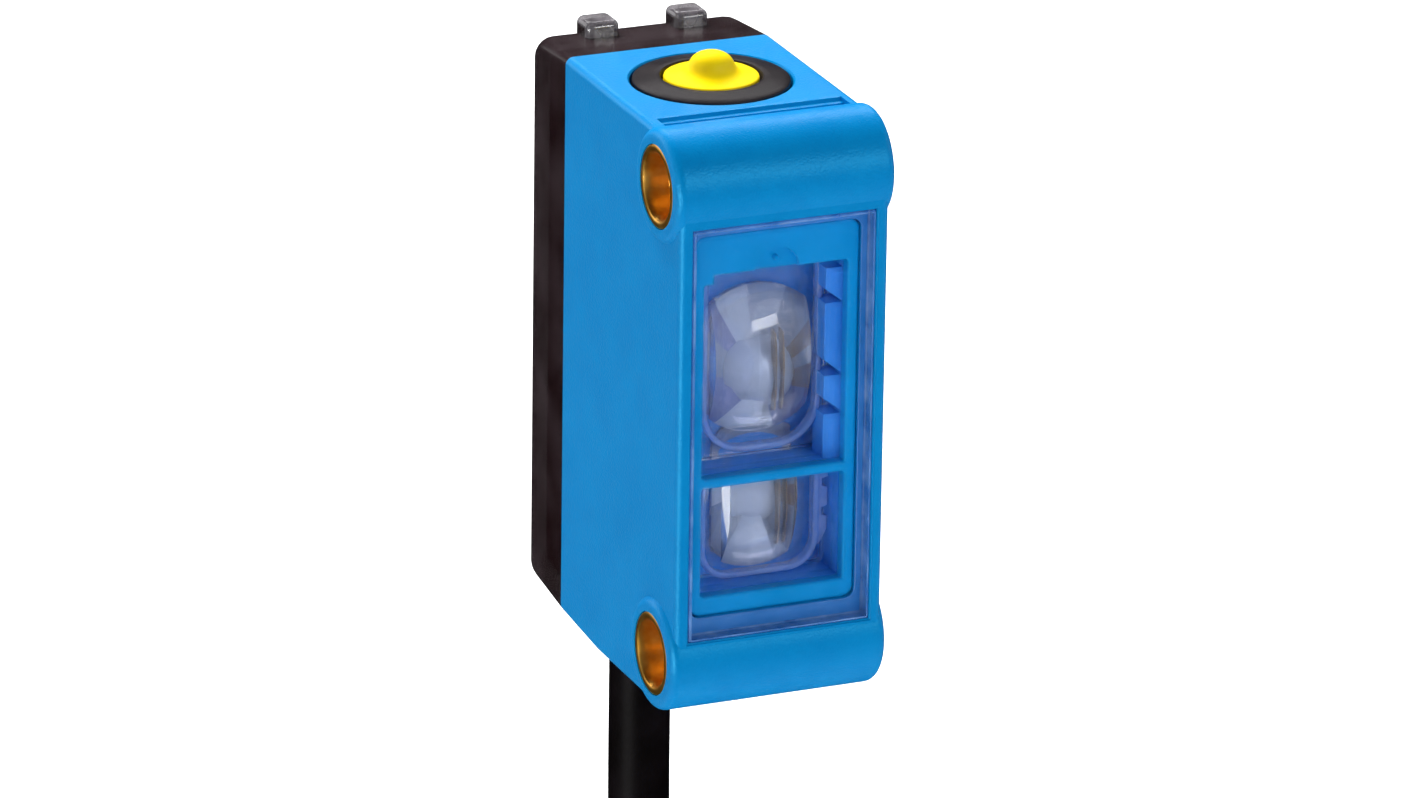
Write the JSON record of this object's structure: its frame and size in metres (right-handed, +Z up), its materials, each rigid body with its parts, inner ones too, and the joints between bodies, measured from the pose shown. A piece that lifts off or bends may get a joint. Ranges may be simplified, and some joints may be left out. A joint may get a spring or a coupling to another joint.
{
  "type": "photoelectric sensor",
  "caption": "Slim box-shaped light sensor with a clear front pane over its lenses, a sprung teach button on top, side threaded inserts and a tied cable ending in a round screw plug.",
  "frame": {"origin": "midway between the axes of the mounting inserts, in the middle of the width", "axes": "-Y is the way the light leaves, +Y is towards the smoked rear cover, +Z is up towards the teach button, X runs along the insert axes across the width"},
  "size_m": [0.0216, 0.0266, 0.1207],
  "materials": {
    "blue_shell": "moulded blue ABS, satin",
    "smoked_cover": "smoked translucent polycarbonate",
    "clear_pane": "clear acrylic, polished",
    "seal_adhesive": "elastic adhesive bead",
    "carrier_blue": "moulded blue, satin",
    "lens_clear": "clear acrylic optics, polished",
    "insert_brass": "turned brass",
    "ring_black": "black elastomer, satin",
    "button_yellow": "yellow elastomer, semi-gloss",
    "plunger_white": "white acetal",
    "black_plastic": "black moulded resin",
    "switch_steel": "tinned sheet steel",
    "board_green": "glass-fibre board with green solder mask",
    "gold_plate": "gold plated",
    "led_pack": "white package with clear dome",
    "ceramic": "ceramic with tinned ends",
    "resistor_black": "thick-film chips",
    "led_amber": "amber indicator",
    "led_green": "green indicator",
    "grommet_black": "black thermoplastic elastomer",
    "wire_brown": "brown PVC insulation",
    "wire_white": "white PVC insulation",
    "wire_blue": "blue PVC insulation",
    "wire_black": "black PVC insulation",
    "cable_black": "black PVC jacket, satin",
    "tie_black": "black polyamide",
    "plug_black": "black polyurethane overmould",
    "screw_nickel": "nickel-plated brass, knurled"
  },
  "bodies": {
    "sensor": {"housing": "blue_shell", "rear_cover": "smoked_cover", "front_window": "clear_pane", "window_seal": "seal_adhesive", "optics_carrier": "carrier_blue", "receiver_lens": "lens_clear", "emitter_lens": "lens_clear", "upper_insert": "insert_brass", "lower_insert": "insert_brass", "button_ring": "ring_black", "switch_body": "black_plastic", "processor_chip": "black_plastic", "driver_chip": "black_plastic", "regulator_chip": "black_plastic", "receiver_diode": "black_plastic", "switch_cover": "switch_steel", "receiver_shield": "switch_steel", "cable_crimp": "switch_steel", "switch_board": "board_green", "main_board": "board_green", "board_pins": "gold_plate", "contact_pins": "gold_plate", "emitter_led": "led_pack", "capacitors": "ceramic", "resistors": "resistor_black", "output_led": "led_amber", "power_led": "led_green", "cable_grommet": "grommet_black", "conductor_brown": "wire_brown", "conductor_white": "wire_white", "conductor_blue": "wire_blue", "conductor_black": "wire_black", "cable": "cable_black", "cable_hank": "cable_black", "cable_tail": "cable_black", "cable_tie": "tie_black", "plug_body": "plug_black", "contact_carrier": "plug_black"},
    "button": {"teach_button": "button_yellow", "switch_plunger": "plunger_white"},
    "coupling": {"coupling_screw": "screw_nickel"}
  },
  "joints": [
    {"name": "teach_press", "type": "slide", "parent": "sensor", "child": "button", "axis": [0, 0, -1], "range_m": [0, 0.00035], "stiffness_N_per_m": 4000, "springref_m": -0.0001},
    {"name": "coupling_turn", "type": "hinge", "parent": "sensor", "child": "coupling", "pos_m": [0.0106, 0.012, -0.0992], "axis": [0, 0, 1], "continuous": true}
  ]
}
